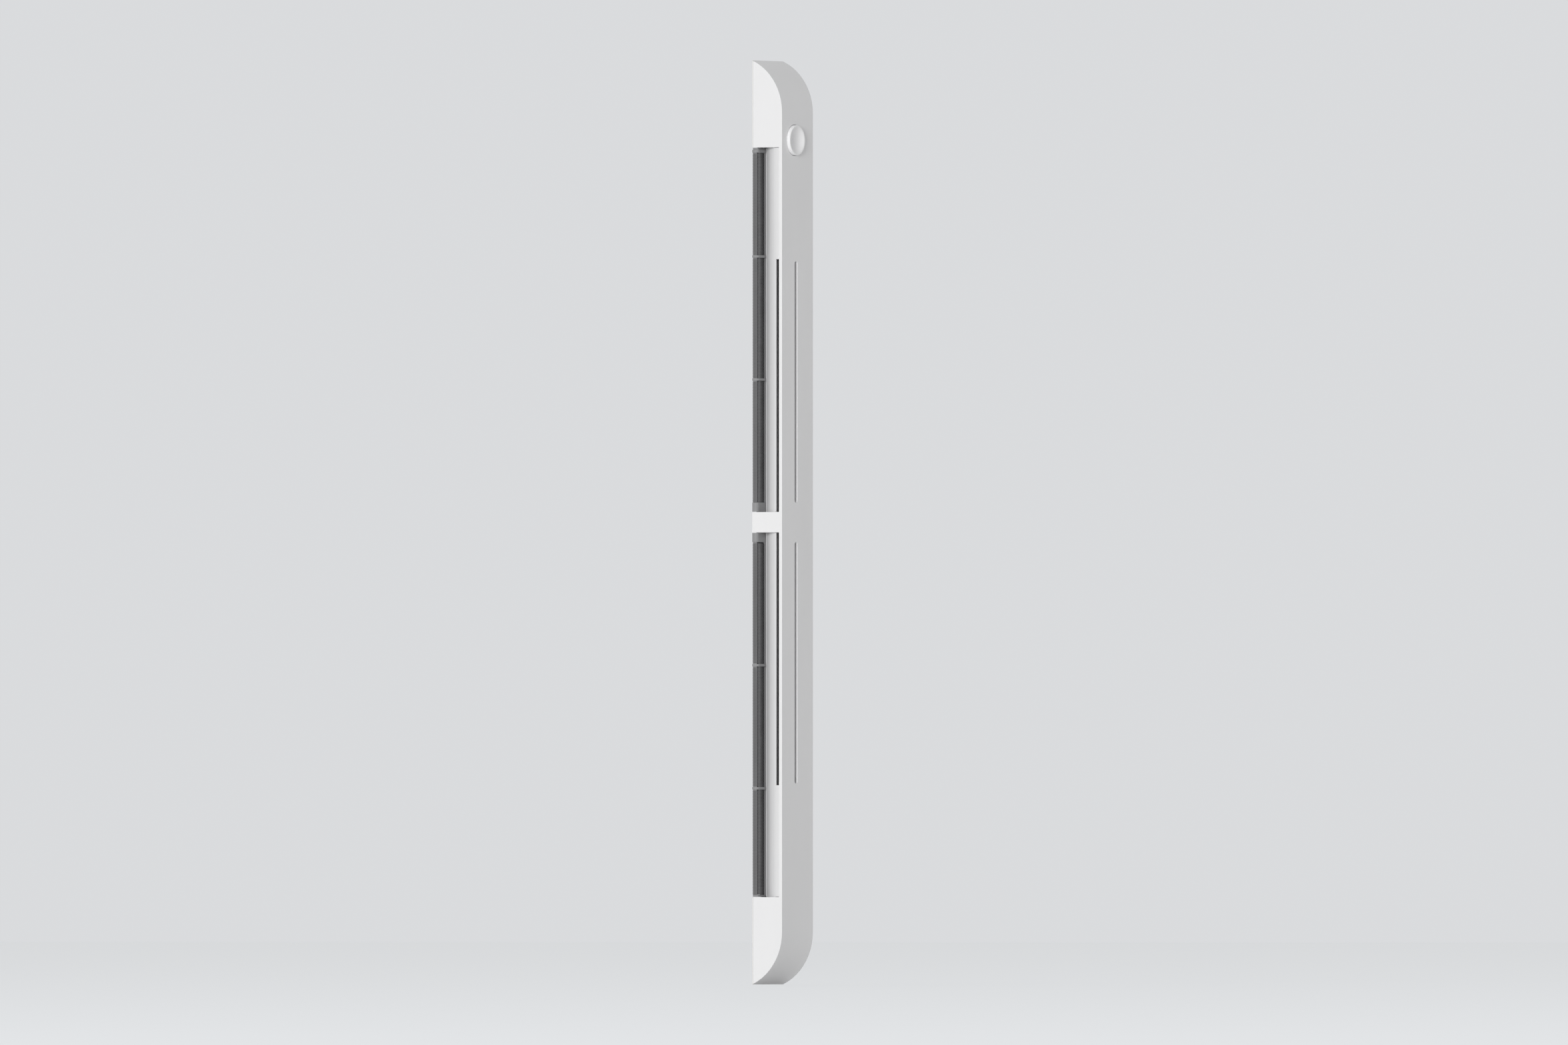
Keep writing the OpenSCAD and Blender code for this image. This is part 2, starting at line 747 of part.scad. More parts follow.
module cover_clips() {
    color("silver") for (z = clip_z) {
        block([base_t, clip_y - clip_foot, z - clip_half], [base_t + clip_t, clip_y, z + clip_half]);
        block([base_t, clip_y - clip_t, z - clip_half], [clip_top, clip_y, z + clip_half]);
        intersection() {
            translate([clip_bump_x, clip_y, z - clip_half]) cylinder(h = 2 * clip_half, r = clip_bump_r);
            block([base_t, clip_y - clip_t, z - clip_half],
                [clip_top, in_back + clip_bump_r, z + clip_half]);
        }
    }
}

module acoustic_foam() {
    color("darkslategray") block([foam_x, foam_y, foam_z0], [in_x, in_back, foam_z1]);
}

module acoustic_foam_upper() {
    acoustic_foam();
}

module acoustic_foam_lower() {
    mirror([0, 0, 1]) acoustic_foam();
}

module wall_seal() {
    color("black") seal_strip(0, seal_t, fit_gap / 2);
}

cover_shell();
mounting_base();
air_guide();
guide_screws();
insect_screen_upper();
insect_screen_lower();
control_cassette();
slotted_grid_upper();
slotted_grid_lower();
shutter_strip();
shutter_lug();
lug_rivets();
return_spring();
spring_anchor();
control_button();
button_stem();
button_spring();
button_bracket();
latch_wire();
bracket_screws();
cover_clips();
acoustic_foam_upper();
acoustic_foam_lower();
wall_seal();
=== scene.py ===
"""Dresses the window trickle vent.

Makes its finishes, softened mouldings, woven screens, springs, button, screws and foam,
then floor, light and camera.
"""

import json
import logging
import math
from dataclasses import dataclass, field
from enum import Enum

import bmesh
import bpy
from mathutils import Matrix, Vector


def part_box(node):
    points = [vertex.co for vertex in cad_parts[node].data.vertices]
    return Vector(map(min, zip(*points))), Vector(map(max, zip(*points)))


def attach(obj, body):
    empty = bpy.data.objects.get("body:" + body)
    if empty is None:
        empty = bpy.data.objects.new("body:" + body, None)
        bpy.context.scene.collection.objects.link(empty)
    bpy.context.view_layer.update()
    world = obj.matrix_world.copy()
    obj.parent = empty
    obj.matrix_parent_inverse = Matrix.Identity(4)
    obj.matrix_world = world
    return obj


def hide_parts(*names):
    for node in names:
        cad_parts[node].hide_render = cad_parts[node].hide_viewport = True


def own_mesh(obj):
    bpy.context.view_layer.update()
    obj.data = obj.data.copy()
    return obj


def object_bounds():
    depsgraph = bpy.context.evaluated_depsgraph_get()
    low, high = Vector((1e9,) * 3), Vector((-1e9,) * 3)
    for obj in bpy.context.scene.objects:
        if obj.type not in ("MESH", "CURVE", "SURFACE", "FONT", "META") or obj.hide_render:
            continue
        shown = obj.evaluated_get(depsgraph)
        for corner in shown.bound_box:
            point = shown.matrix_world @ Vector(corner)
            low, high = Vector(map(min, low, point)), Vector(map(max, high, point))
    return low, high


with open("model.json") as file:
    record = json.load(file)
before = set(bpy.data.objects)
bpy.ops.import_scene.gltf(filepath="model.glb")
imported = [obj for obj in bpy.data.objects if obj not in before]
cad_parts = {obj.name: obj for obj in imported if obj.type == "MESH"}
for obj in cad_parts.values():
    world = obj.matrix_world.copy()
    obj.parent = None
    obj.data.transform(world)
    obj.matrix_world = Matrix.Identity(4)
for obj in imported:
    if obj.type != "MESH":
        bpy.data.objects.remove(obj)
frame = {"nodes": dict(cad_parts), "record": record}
CAD_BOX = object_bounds()

LOG = logging.getLogger("trickle_vent")
MM = 0.001
WELD_M = 1e-6
# Faces lie in one plane where the cosine between them is above this
LEVEL = 0.999999
# Face layer that the levelled normals read, and the mark of a face that leads its neighbours
FACE_STRENGTH = "__mod_weightednormals_faceweight"
STRONG = 16384
# How far large faces lead small ones in the levelled normals, from 1 to 100
LARGE_FACES_LEAD = 100
Point = tuple[float, float, float]


class Body(Enum):
    """The bodies of the vent that pieces ride on."""

    HOUSING = "housing"
    BUTTON = "button"
    SHUTTER = "shutter"
    LATCH = "latch"


class Axis(Enum):
    """The axis that a spring is wound round."""

    X = 0
    Z = 2


class Grain(Enum):
    """How a moulded surface was textured in its tool."""

    FINE = "fine"
    SPARK = "spark"
    POLISHED = "polished"


GRAIN_PITCH_MM = {Grain.FINE: 0.35, Grain.SPARK: 0.6, Grain.POLISHED: 2.5}
GRAIN_RELIEF_MM = {Grain.FINE: 0.012, Grain.SPARK: 0.03, Grain.POLISHED: 0.006}
# Values between which most of the noise lies
NOISE_REACH = (0.25, 0.75)


class NodeTree:
    """A short way to add and join the shader nodes of one material or world."""

    def __init__(self, owner: bpy.types.Material | bpy.types.World) -> None:
        """Empties the owner's node tree.

        Args:
            owner: Material or world that the nodes belong to.
        """
        owner.use_nodes = True
        self.owner = owner
        self.tree = owner.node_tree
        self.tree.nodes.clear()

    @classmethod
    def material(cls, name: str) -> "NodeTree":
        """Starts a new material and returns its node tree."""
        return cls(bpy.data.materials.new(name))

    def add(self, kind: str, **values: object) -> bpy.types.Node:
        """Adds a node and sets its properties or unlinked sockets.

        Args:
            kind: Blender's name of the node type.
            **values: Property names or socket names (with _ for blanks) and their values.

        Returns:
            The new node.
        """
        node = self.tree.nodes.new(kind)
        for key, value in values.items():
            socket = key.replace("_", " ")
            if socket in node.inputs:
                node.inputs[socket].default_value = value
            else:
                setattr(node, key, value)
        return node

    def join(self, source: bpy.types.Node, output: str | int, target: bpy.types.Node,
             entry: str | int) -> None:
        """Links one node's output to another node's input."""
        self.tree.links.new(source.outputs[output], target.inputs[entry])

    def finish(self, shader: bpy.types.Node) -> bpy.types.Material:
        """Connects the shader to the surface.

        Args:
            shader: Node that gives the finished look.

        Returns:
            The material.
        """
        out = self.add("ShaderNodeOutputMaterial")
        self.join(shader, 0, out, "Surface")
        return self.owner

    def seen(self) -> bpy.types.Node:
        """Adds a value that is 1 for what is looked at, mirrored or seen through.

        Returns:
            The node whose first output is that value.
        """
        path = self.add("ShaderNodeLightPath")
        sharp = self.add("ShaderNodeMath", operation="MAXIMUM")
        either = self.add("ShaderNodeMath", operation="MAXIMUM")
        self.join(path, "Is Glossy Ray", sharp, 0)
        self.join(path, "Is Transmission Ray", sharp, 1)
        self.join(path, "Is Camera Ray", either, 0)
        self.join(sharp, 0, either, 1)
        return either

    def choose(self, plain: bpy.types.Node, looked_at: bpy.types.Node) -> bpy.types.Node:
        """Adds a mix of two shaders, one for light and one for the eye.

        Args:
            plain: Shader that light meets.
            looked_at: Shader that is looked at, mirrored or seen through.

        Returns:
            The mix node.
        """
        mix = self.add("ShaderNodeMixShader")
        self.join(self.seen(), 0, mix, 0)
        self.join(plain, 0, mix, 1)
        self.join(looked_at, 0, mix, 2)
        return mix

    def object_noise(self, pitch_mm: float, detail: float = 2.0,
                     stretch: Point = (1, 1, 1)) -> bpy.types.Node:
        """Adds noise in the object's own space.

        Args:
            pitch_mm: Size of one grain.
            detail: Number of finer layers.
            stretch: How much the grains are packed along X, Y and Z.

        Returns:
            The noise node.
        """
        place = self.add("ShaderNodeTexCoord")
        scale = self.add("ShaderNodeMapping", Scale=stretch)
        noise = self.add("ShaderNodeTexNoise", Scale=1 / (pitch_mm * MM), Detail=detail)
        self.join(place, "Object", scale, "Vector")
        self.join(scale, "Vector", noise, "Vector")
        return noise

    def ramp(self, source: bpy.types.Node, stops: list[tuple[float, Point]],
             output: str = "Fac") -> bpy.types.Node:
        """Maps a grey value onto colours.

        Args:
            source: Node that gives the grey value.
            stops: Places from 0 to 1, each with its colour.
            output: Name of the source's output.

        Returns:
            The colour ramp node.
        """
        ramp = self.add("ShaderNodeValToRGB")
        while len(ramp.color_ramp.elements) < len(stops):
            ramp.color_ramp.elements.new(0.5)
        for element, (place, colour) in zip(ramp.color_ramp.elements, stops):
            element.position = place
            element.color = (*colour, 1)
        self.join(source, output, ramp, "Fac")
        return ramp

    def clouded(self, noise: bpy.types.Node, colour: Point, share: float) -> bpy.types.Node:
        """Returns a new node with a colour that noise darkens in patches, down to a share of it."""
        return self.ramp(noise, [(0.3, tinted(colour, share)), (0.7, colour)])

    def map_range(self, source: bpy.types.Node, output: str | int,
                  limits: tuple[float, float, float, float]) -> bpy.types.Node:
        """Maps a value from one range onto another and holds it there.

        Args:
            source: Node that gives the value.
            output: Name or number of the source's output.
            limits: Ends of the old range, then ends of the new one.

        Returns:
            The node that gives the new value.
        """
        node = self.add("ShaderNodeMapRange", clamp=True)
        for entry, value in zip(("From Min", "From Max", "To Min", "To Max"), limits):
            node.inputs[entry].default_value = value
        self.join(source, output, node, "Value")
        return node

    def bump(self, source: bpy.types.Node, relief_mm: float, output: str = "Fac") -> bpy.types.Node:
        """Turns a grey value into a raised surface.

        Args:
            source: Node that gives the grey value.
            relief_mm: Height of the relief.
            output: Name of the source's output.

        Returns:
            The bump node.
        """
        node = self.add("ShaderNodeBump", Strength=1.0, Distance=relief_mm * MM)
        self.join(source, output, node, "Height")
        return node


def tinted(colour: Point, share: float) -> Point:
    """Returns the colour made lighter or darker by a share."""
    return tuple(min(1.0, value * share) for value in colour)


@dataclass(frozen=True)
class MouldedPlastic:
    """Injection-moulded plastic with a tool texture and faint flow marks."""

    name: str
    colour: Point
    roughness: float = 0.45
    grain: Grain = Grain.FINE
    mottle: float = 0.03
    specular: float = 0.4
    ior: float = 1.47
    flow_mm: float = 38.0
    flow_stretch: Point = (1, 1, 0.35)
    gloss_spread: float = 0.05

    def make(self) -> bpy.types.Material:
        """Builds the nodes of the finish.

        Returns:
            The material.
        """
        tree = NodeTree.material(self.name)
        shader = tree.add("ShaderNodeBsdfPrincipled", IOR=self.ior)
        shader.inputs["Specular IOR Level"].default_value = self.specular
        flow = tree.object_noise(self.flow_mm, 3.0, self.flow_stretch)
        tint = tree.clouded(flow, self.colour, 1 - self.mottle)
        tree.join(tint, "Color", shader, "Base Color")
        fine = tree.object_noise(GRAIN_PITCH_MM[self.grain])
        rough = (self.roughness - self.gloss_spread, self.roughness + self.gloss_spread)
        gloss = tree.map_range(fine, "Fac", (*NOISE_REACH, *rough))
        tree.join(gloss, "Result", shader, "Roughness")
        relief = tree.bump(fine, GRAIN_RELIEF_MM[self.grain])
        tree.join(relief, "Normal", shader, "Normal")
        return tree.finish(shader)


@dataclass(frozen=True)
class PlatedMetal:
    """Metal with fine drawn or turned marks and a little dulling."""

    name: str
    colour: Point
    roughness: float = 0.3
    drawn: Point = (1, 1, 0.1)
    mark_mm: float = 0.12
    relief_mm: float = 0.004
    cloud_mm: float = 3.0
    dulling: float = 0.82
    gloss_spread: tuple[float, float] = (0.08, 0.12)

    def make(self) -> bpy.types.Material:
        """Builds the nodes of the finish.

        Returns:
            The material.
        """
        tree = NodeTree.material(self.name)
        shader = tree.add("ShaderNodeBsdfPrincipled", Metallic=1.0)
        marks = tree.object_noise(self.mark_mm, stretch=self.drawn)
        cloud = tree.object_noise(self.cloud_mm, 3.0)
        tree.join(tree.clouded(cloud, self.colour, self.dulling), "Color", shader, "Base Color")
        rough = (self.roughness - self.gloss_spread[0], self.roughness + self.gloss_spread[1])
        gloss = tree.map_range(marks, "Fac", (*NOISE_REACH, *rough))
        tree.join(gloss, "Result", shader, "Roughness")
        relief = tree.bump(marks, self.relief_mm)
        tree.join(relief, "Normal", shader, "Normal")
        return tree.finish(shader)


@dataclass(frozen=True)
class CoatedMesh:
    """Coated wire whose colour changes from the front edge inwards, as painted light near the front and
    painted shade deeper inside.
    """

    name: str
    colours: tuple[tuple[float, float], ...]
    front_mm: float
    back_mm: float
    roughness: float = 0.55
    specular: float = 0.3
    patch_mm: float = 9.0
    wander_mm: float = 1.2
    blue: float = 1.02
    grain_mm: float = 0.2
    relief_mm: float = 0.01

    def make(self) -> bpy.types.Material:
        """Builds the nodes of the finish.

        Returns:
            The material.
        """
        tree = NodeTree.material(self.name)
        shader = tree.add("ShaderNodeBsdfPrincipled", Roughness=self.roughness)
        shader.inputs["Specular IOR Level"].default_value = self.specular
        place = tree.add("ShaderNodeTexCoord")
        split = tree.add("ShaderNodeSeparateXYZ")
        tree.join(place, "Object", split, "Vector")
        wander = tree.add("ShaderNodeMath", operation="MULTIPLY_ADD")
        wander.inputs[1].default_value = self.wander_mm * MM
        tree.join(tree.object_noise(self.patch_mm), "Fac", wander, 0)
        tree.join(split, "Y", wander, 2)
        # Painted light and shade: the mesh grey follows the depth into the opening, with a noisy border
        inwards = tree.map_range(wander, 0, (self.front_mm * MM, self.back_mm * MM, 0.0, 1.0))
        stops = [(at, (grey, grey, grey * self.blue)) for at, grey in self.colours]
        tree.join(tree.ramp(inwards, stops, "Result"), "Color", shader, "Base Color")
        relief = tree.bump(tree.object_noise(self.grain_mm), self.relief_mm)
        tree.join(relief, "Normal", shader, "Normal")
        return tree.finish(shader)


@dataclass(frozen=True)
class CellFoam:
    """Soft foam or sponge rubber with visible cells and painted shade in the cell hollows."""

    name: str
    colour: Point
    cell_mm: float
    relief_mm: float
    roughness: float = 0.95
    specular: float = 0.2
    hollow_shade: float = 0.35

    def make(self) -> bpy.types.Material:
        """Builds the nodes of the finish.

        Returns:
            The material.
        """
        tree = NodeTree.material(self.name)
        shader = tree.add("ShaderNodeBsdfPrincipled", Roughness=self.roughness)
        shader.inputs["Specular IOR Level"].default_value = self.specular
        place = tree.add("ShaderNodeTexCoord")
        cells = tree.add("ShaderNodeTexVoronoi", Scale=1 / (self.cell_mm * MM))
        tree.join(place, "Object", cells, "Vector")
        # Painted shade: the cell hollows, where the bump sinks, are darkened
        stops = [(0.0, tinted(self.colour, self.hollow_shade)), (0.6, self.colour)]
        tint = tree.ramp(cells, stops, "Distance")
        tree.join(tint, "Color", shader, "Base Color")
        relief = tree.bump(cells, self.relief_mm, "Distance")
        tree.join(relief, "Normal", shader, "Normal")
        return tree.finish(shader)


@dataclass(frozen=True)
class StudioPaper:
    """Plain pale paper for the floor, which throws light up evenly and looks as pale as the backdrop."""

    name: str
    colour: Point
    glow: float
    bounce: Point
    cloud_mm: float = 40.0
    cloud_share: float = 0.985

    def make(self) -> bpy.types.Material:
        """Builds the nodes of the finish.

        Returns:
            The material.
        """
        tree = NodeTree.material(self.name)
        matt = tree.add("ShaderNodeBsdfDiffuse")
        cloud = tree.object_noise(self.cloud_mm)
        tree.join(tree.clouded(cloud, self.colour, self.cloud_share), "Color", matt, "Color")
        glow = tree.add("ShaderNodeEmission", Strength=self.glow)
        both = tree.add("ShaderNodeAddShader")
        tree.join(matt, 0, both, 0)
        tree.join(glow, 0, both, 1)
        plain = tree.add("ShaderNodeBsdfDiffuse", Color=(*self.bounce, 1.0))
        return tree.finish(tree.choose(plain, both))


# Grey of the mesh from its front edge inwards, lighter behind the fold as painted light and darkest at the
# back as painted shade: places from 0 to 1, each with its level
MESH_PAINTED_SHADE = ((0.0, 0.17), (0.15, 0.22), (0.3, 0.30), (0.55, 0.16), (1.0, 0.05))
FINISHES = {
    "white_plastic": MouldedPlastic("satin_white", (0.84, 0.84, 0.845), 0.42),
    "base_plastic": MouldedPlastic("matt_off_white", (0.78, 0.78, 0.77), 0.55, Grain.SPARK),
    "button_plastic": MouldedPlastic("smooth_white", (0.9, 0.9, 0.905), 0.32, Grain.POLISHED),
    "grey_plastic": MouldedPlastic("mid_grey", (0.28, 0.28, 0.285), 0.55, Grain.SPARK, 0.06),
    "dark_plastic": MouldedPlastic("dark_grey", (0.045, 0.045, 0.048), 0.6, Grain.SPARK, 0.08),
    "screen_mesh": CoatedMesh("coated_mesh_painted_shade", MESH_PAINTED_SHADE, -15.0, -7.5),
    "zinc_steel": PlatedMetal("bright_zinc", (0.66, 0.66, 0.64), 0.28),
    "spring_steel": PlatedMetal("drawn_steel", (0.55, 0.55, 0.56), 0.32),
    "foam": CellFoam("open_cell_foam", (0.05, 0.05, 0.055), 0.9, 0.3),
    "seal_rubber": CellFoam("sponge_rubber", (0.03, 0.03, 0.032), 0.4, 0.06),
}


def node_box_mm(node: str) -> tuple[Vector, Vector]:
    """Returns a solid's lowest and highest corner in millimetres."""
    low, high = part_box(node)
    return Vector(low) / MM, Vector(high) / MM


def islands_mm(node: str) -> list[tuple[Vector, Vector]]:
    """Finds the separate pieces inside one solid.

    Args:
        node: Name of the solid.

    Returns:
        The lowest and highest corner of each piece, in millimetres.
    """
    bm = bmesh.new()
    bm.from_mesh(frame["nodes"][node].data)
    bmesh.ops.remove_doubles(bm, verts=bm.verts, dist=WELD_M)
    waiting, boxes = set(bm.verts), []
    while waiting:
        front = [waiting.pop()]
        group = []
        while front:
            vert = front.pop()
            group.append(vert.co / MM)
            near = {edge.other_vert(vert) for edge in vert.link_edges} & waiting
            waiting -= near
            front.extend(near)
        low = Vector(min(point[k] for point in group) for k in range(3))
        high = Vector(max(point[k] for point in group) for k in range(3))
        boxes.append((low, high))
    bm.free()
    return sorted(boxes, key=lambda box: (round(box[0].z, 3), round(box[0].y, 3)))


def turn_profile(bm: bmesh.types.BMesh, profile: list[tuple[float, float]], centre: tuple[float, float],
                 steps: int) -> list[list[bmesh.types.BMVert]]:
    """Turns a profile round an axis that runs along X.

    Args:
        bm: Mesh that takes the new faces.
        profile: Radius and X of each point, in millimetres.
        centre: Y and Z of the axis, in millimetres.
        steps: Number of sides.

    Returns:
        The rings of vertices, one for each point of the profile.
    """
    rings = []
    for radius, x in profile:
        ring = []
        for k in range(steps if radius > 0 else 1):
            turn = 2 * math.pi * k / steps
            y, z = centre[0] + radius * math.cos(turn), centre[1] + radius * math.sin(turn)
            ring.append(bm.verts.new(Vector((x, y, z)) * MM))
        rings.append(ring)
    for near, far in zip(rings, rings[1:]):
        for k in range(steps):
            corners = [near[k % len(near)], near[(k + 1) % len(near)]]
            corners += [far[(k + 1) % len(far)], far[k % len(far)]]
            bm.faces.new(list(dict.fromkeys(corners)))
    return rings


def arc_points(centre: tuple[float, float], radius: float, start_deg: float, end_deg: float,
               steps: int) -> list[tuple[float, float]]:
    """Returns points along an arc in a plane, with both ends."""
    turns = [math.radians(start_deg + (end_deg - start_deg) * k / steps) for k in range(steps + 1)]
    return [(centre[0] + radius * math.cos(a), centre[1] + radius * math.sin(a)) for a in turns]


@dataclass(frozen=True)
class Wire:
    """Round wire that is bent along a path."""

    radius_mm: float
    sides: int = 8

    def sweep(self, bm: bmesh.types.BMesh, path: list[Vector]) -> None:
        """Sweeps the wire along a path and closes both ends.

        Args:
            bm: Mesh that takes the new faces.
            path: Points along the wire's middle, in millimetres.
        """
        last = len(path) - 1
        tangents = [(path[min(k + 1, last)] - path[max(k - 1, 0)]).normalized() for k in range(last + 1)]
        side = tangents[0].orthogonal().normalized()
        rings = []
        for point, along in zip(path, tangents):
            side = (side - along * side.dot(along)).normalized()
            up = along.cross(side)
            ring = []
            for k in range(self.sides):
                turn = 2 * math.pi * k / self.sides
                out = side * math.cos(turn) + up * math.sin(turn)
                ring.append(bm.verts.new((point + out * self.radius_mm) * MM))
            rings.append(ring)
        for near, far in zip(rings, rings[1:]):
            for k in range(self.sides):
                bm.faces.new((near[k], near[k - 1], far[k - 1], far[k]))
        bm.faces.new(rings[0])
        bm.faces.new(rings[-1][::-1])

    def bend(self, corners: list[Vector], radius_mm: float, steps: int = 6) -> list[Vector]:
        """Rounds the corners of a path.

        Args:
            corners: Ends and corners of the path.
            radius_mm: How far before and after a corner the bend begins.
            steps: Points in each bend.

        Returns:
            The rounded path.
        """
        path = [corners[0]]
        for before, corner, after in zip(corners, corners[1:], corners[2:]):
            start = corner + (before - corner).normalized() * radius_mm
            end = corner + (after - corner).normalized() * radius_mm
            for k in range(steps + 1):
                t = k / steps
                path.append(start * (1 - t) ** 2 + corner * 2 * t * (1 - t) + end * t ** 2)
        return path + [corners[-1]]


@dataclass
class Workshop:
    """Makes pieces, gives them their finish and ties them to the moving frame."""

    materials: dict[str, bpy.types.Material] = field(default_factory=dict)
    pieces: int = 0

    def finish(self, slot: str) -> bpy.types.Material:
        """Makes the material of a slot once.

        Args:
            slot: Material slot of the record.

        Returns:
            The slot's material.
        """
        if slot not in self.materials:
            self.materials[slot] = FINISHES[slot].make()
        return self.materials[slot]

    def dress_solids(self) -> None:
        """Gives each carried-over solid the finish of its slot."""
        for row in frame["record"]["subparts"]:
            mesh = frame["nodes"][row["node"]].data
            mesh.materials.clear()
            mesh.materials.append(self.finish(row["material_slot"]))

    def piece(self, name: str, bm: bmesh.types.BMesh, slot: str, body: Body,
              nodes: tuple[str, ...] = (), smooth_deg: float = 35.0) -> bpy.types.Object:
        """Turns a worked mesh into a finished piece on its body.

        Args:
            name: Name of the piece.
            bm: The worked mesh, in metres, which is freed here.
            slot: Material slot of the record.
            body: Body that the piece moves with.
            nodes: Solids that the piece stands for.
            smooth_deg: Edges flatter than this are shaded smooth.

        Returns:
            The new object.
        """
        bmesh.ops.recalc_face_normals(bm, faces=bm.faces)
        mesh = bpy.data.meshes.new(name)
        bm.to_mesh(mesh)
        bm.free()
        mesh.polygons.foreach_set("use_smooth", [True] * len(mesh.polygons))
        mesh.set_sharp_from_angle(angle=math.radians(smooth_deg))
        mesh.materials.append(self.finish(slot))
        thing = bpy.data.objects.new(name, mesh)
        bpy.context.collection.objects.link(thing)
        level = thing.modifiers.new("level_flats", "WEIGHTED_NORMAL")
        level.keep_sharp = True
        level.weight = LARGE_FACES_LEAD
        level.use_face_influence = True
        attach(thing, body.value)
        if nodes:
            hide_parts(*nodes)
        self.pieces += 1
        LOG.info("%s: %d faces, stands for %s", name, len(mesh.polygons), ", ".join(nodes) or "no solid")
        return thing


@dataclass
class SoftMoulding:
    """A moulded piece whose edges carry the small radius that a real tool leaves."""

    node: str
    slot: str
    radius_mm: float
    body: Body = Body.HOUSING
    segments: int = 3
    sharp_deg: float = 25.0
    level_deg: float = 0.2

    def build(self, shop: Workshop) -> bpy.types.Object:
        """Builds the piece from its solid's shape, with every sharp edge rounded.

        Args:
            shop: The workshop that finishes the piece.

        Returns:
            The new object.
        """
        bm = bmesh.new()
        bm.from_mesh(frame["nodes"][self.node].data)
        bmesh.ops.remove_doubles(bm, verts=bm.verts, dist=WELD_M)
        bmesh.ops.dissolve_limit(bm, angle_limit=math.radians(self.level_deg), verts=bm.verts, edges=bm.edges)
        bmesh.ops.connect_verts_concave(bm, faces=bm.faces)
        sharp = math.radians(self.sharp_deg)
        edges = [edge for edge in bm.edges if len(edge.link_faces) == 2 and edge.calc_face_angle(0.0) > sharp]
        bmesh.ops.bevel(bm, geom=edges, offset=self.radius_mm * MM, offset_type="OFFSET", profile=0.5,
                        segments=self.segments, affect="EDGES", clamp_overlap=False, loop_slide=False,
                        miter_outer="ARC", face_strength_mode="ALL")
        bm.normal_update()
        for flat in self.flats(bm):
            self.refill(bm, flat)
        return shop.piece(f"{self.node}_moulding", bm, self.slot, self.body, (self.node,))

    def flats(self, bm: bmesh.types.BMesh) -> list[list[bmesh.types.BMFace]]:
        """Finds the level surfaces that the rounding left in more than one plain face.

        Args:
            bm: The rounded mesh.

        Returns:
            The faces of each level surface.
        """
        done, groups = set(), []
        for first in bm.faces:
            group = [] if first in done else [first]
            done.update(group)
            for face in group:
                near = [other for edge in face.edges for other in edge.link_faces
                        if other not in done and abs(face.normal.dot(other.normal)) > LEVEL]
                near = list(dict.fromkeys(near))
                done.update(near)
                group.extend(near)
            if len(group) > 1 or (group and len(first.verts) > 4):
                groups.append(group)
        return groups

    def refill(self, bm: bmesh.types.BMesh, flat: list[bmesh.types.BMFace]) -> None:
        """Fills a level surface again from its outline, so that no sliver of it is turned over.

        Args:
            bm: The rounded mesh.
            flat: The faces of the level surface.
        """
        inside = set(flat)
        normal = sum((face.normal * face.calc_area() for face in flat), Vector()).normalized()
        edges = list(dict.fromkeys(edge for face in flat for edge in face.edges))
        outline = [edge for edge in edges if sum(face in inside for face in edge.link_faces) == 1]
        bmesh.ops.delete(bm, geom=flat, context="FACES_ONLY")
        for edge in edges:
            if not edge.link_faces and edge not in outline:
                bm.edges.remove(edge)
        made = bmesh.ops.triangle_fill(bm, use_beauty=True, use_dissolve=True, edges=outline, normal=normal)
        strength = bm.faces.layers.int[FACE_STRENGTH]
        for face in made["geom"]:
            if isinstance(face, bmesh.types.BMFace):
                face[strength] = STRONG


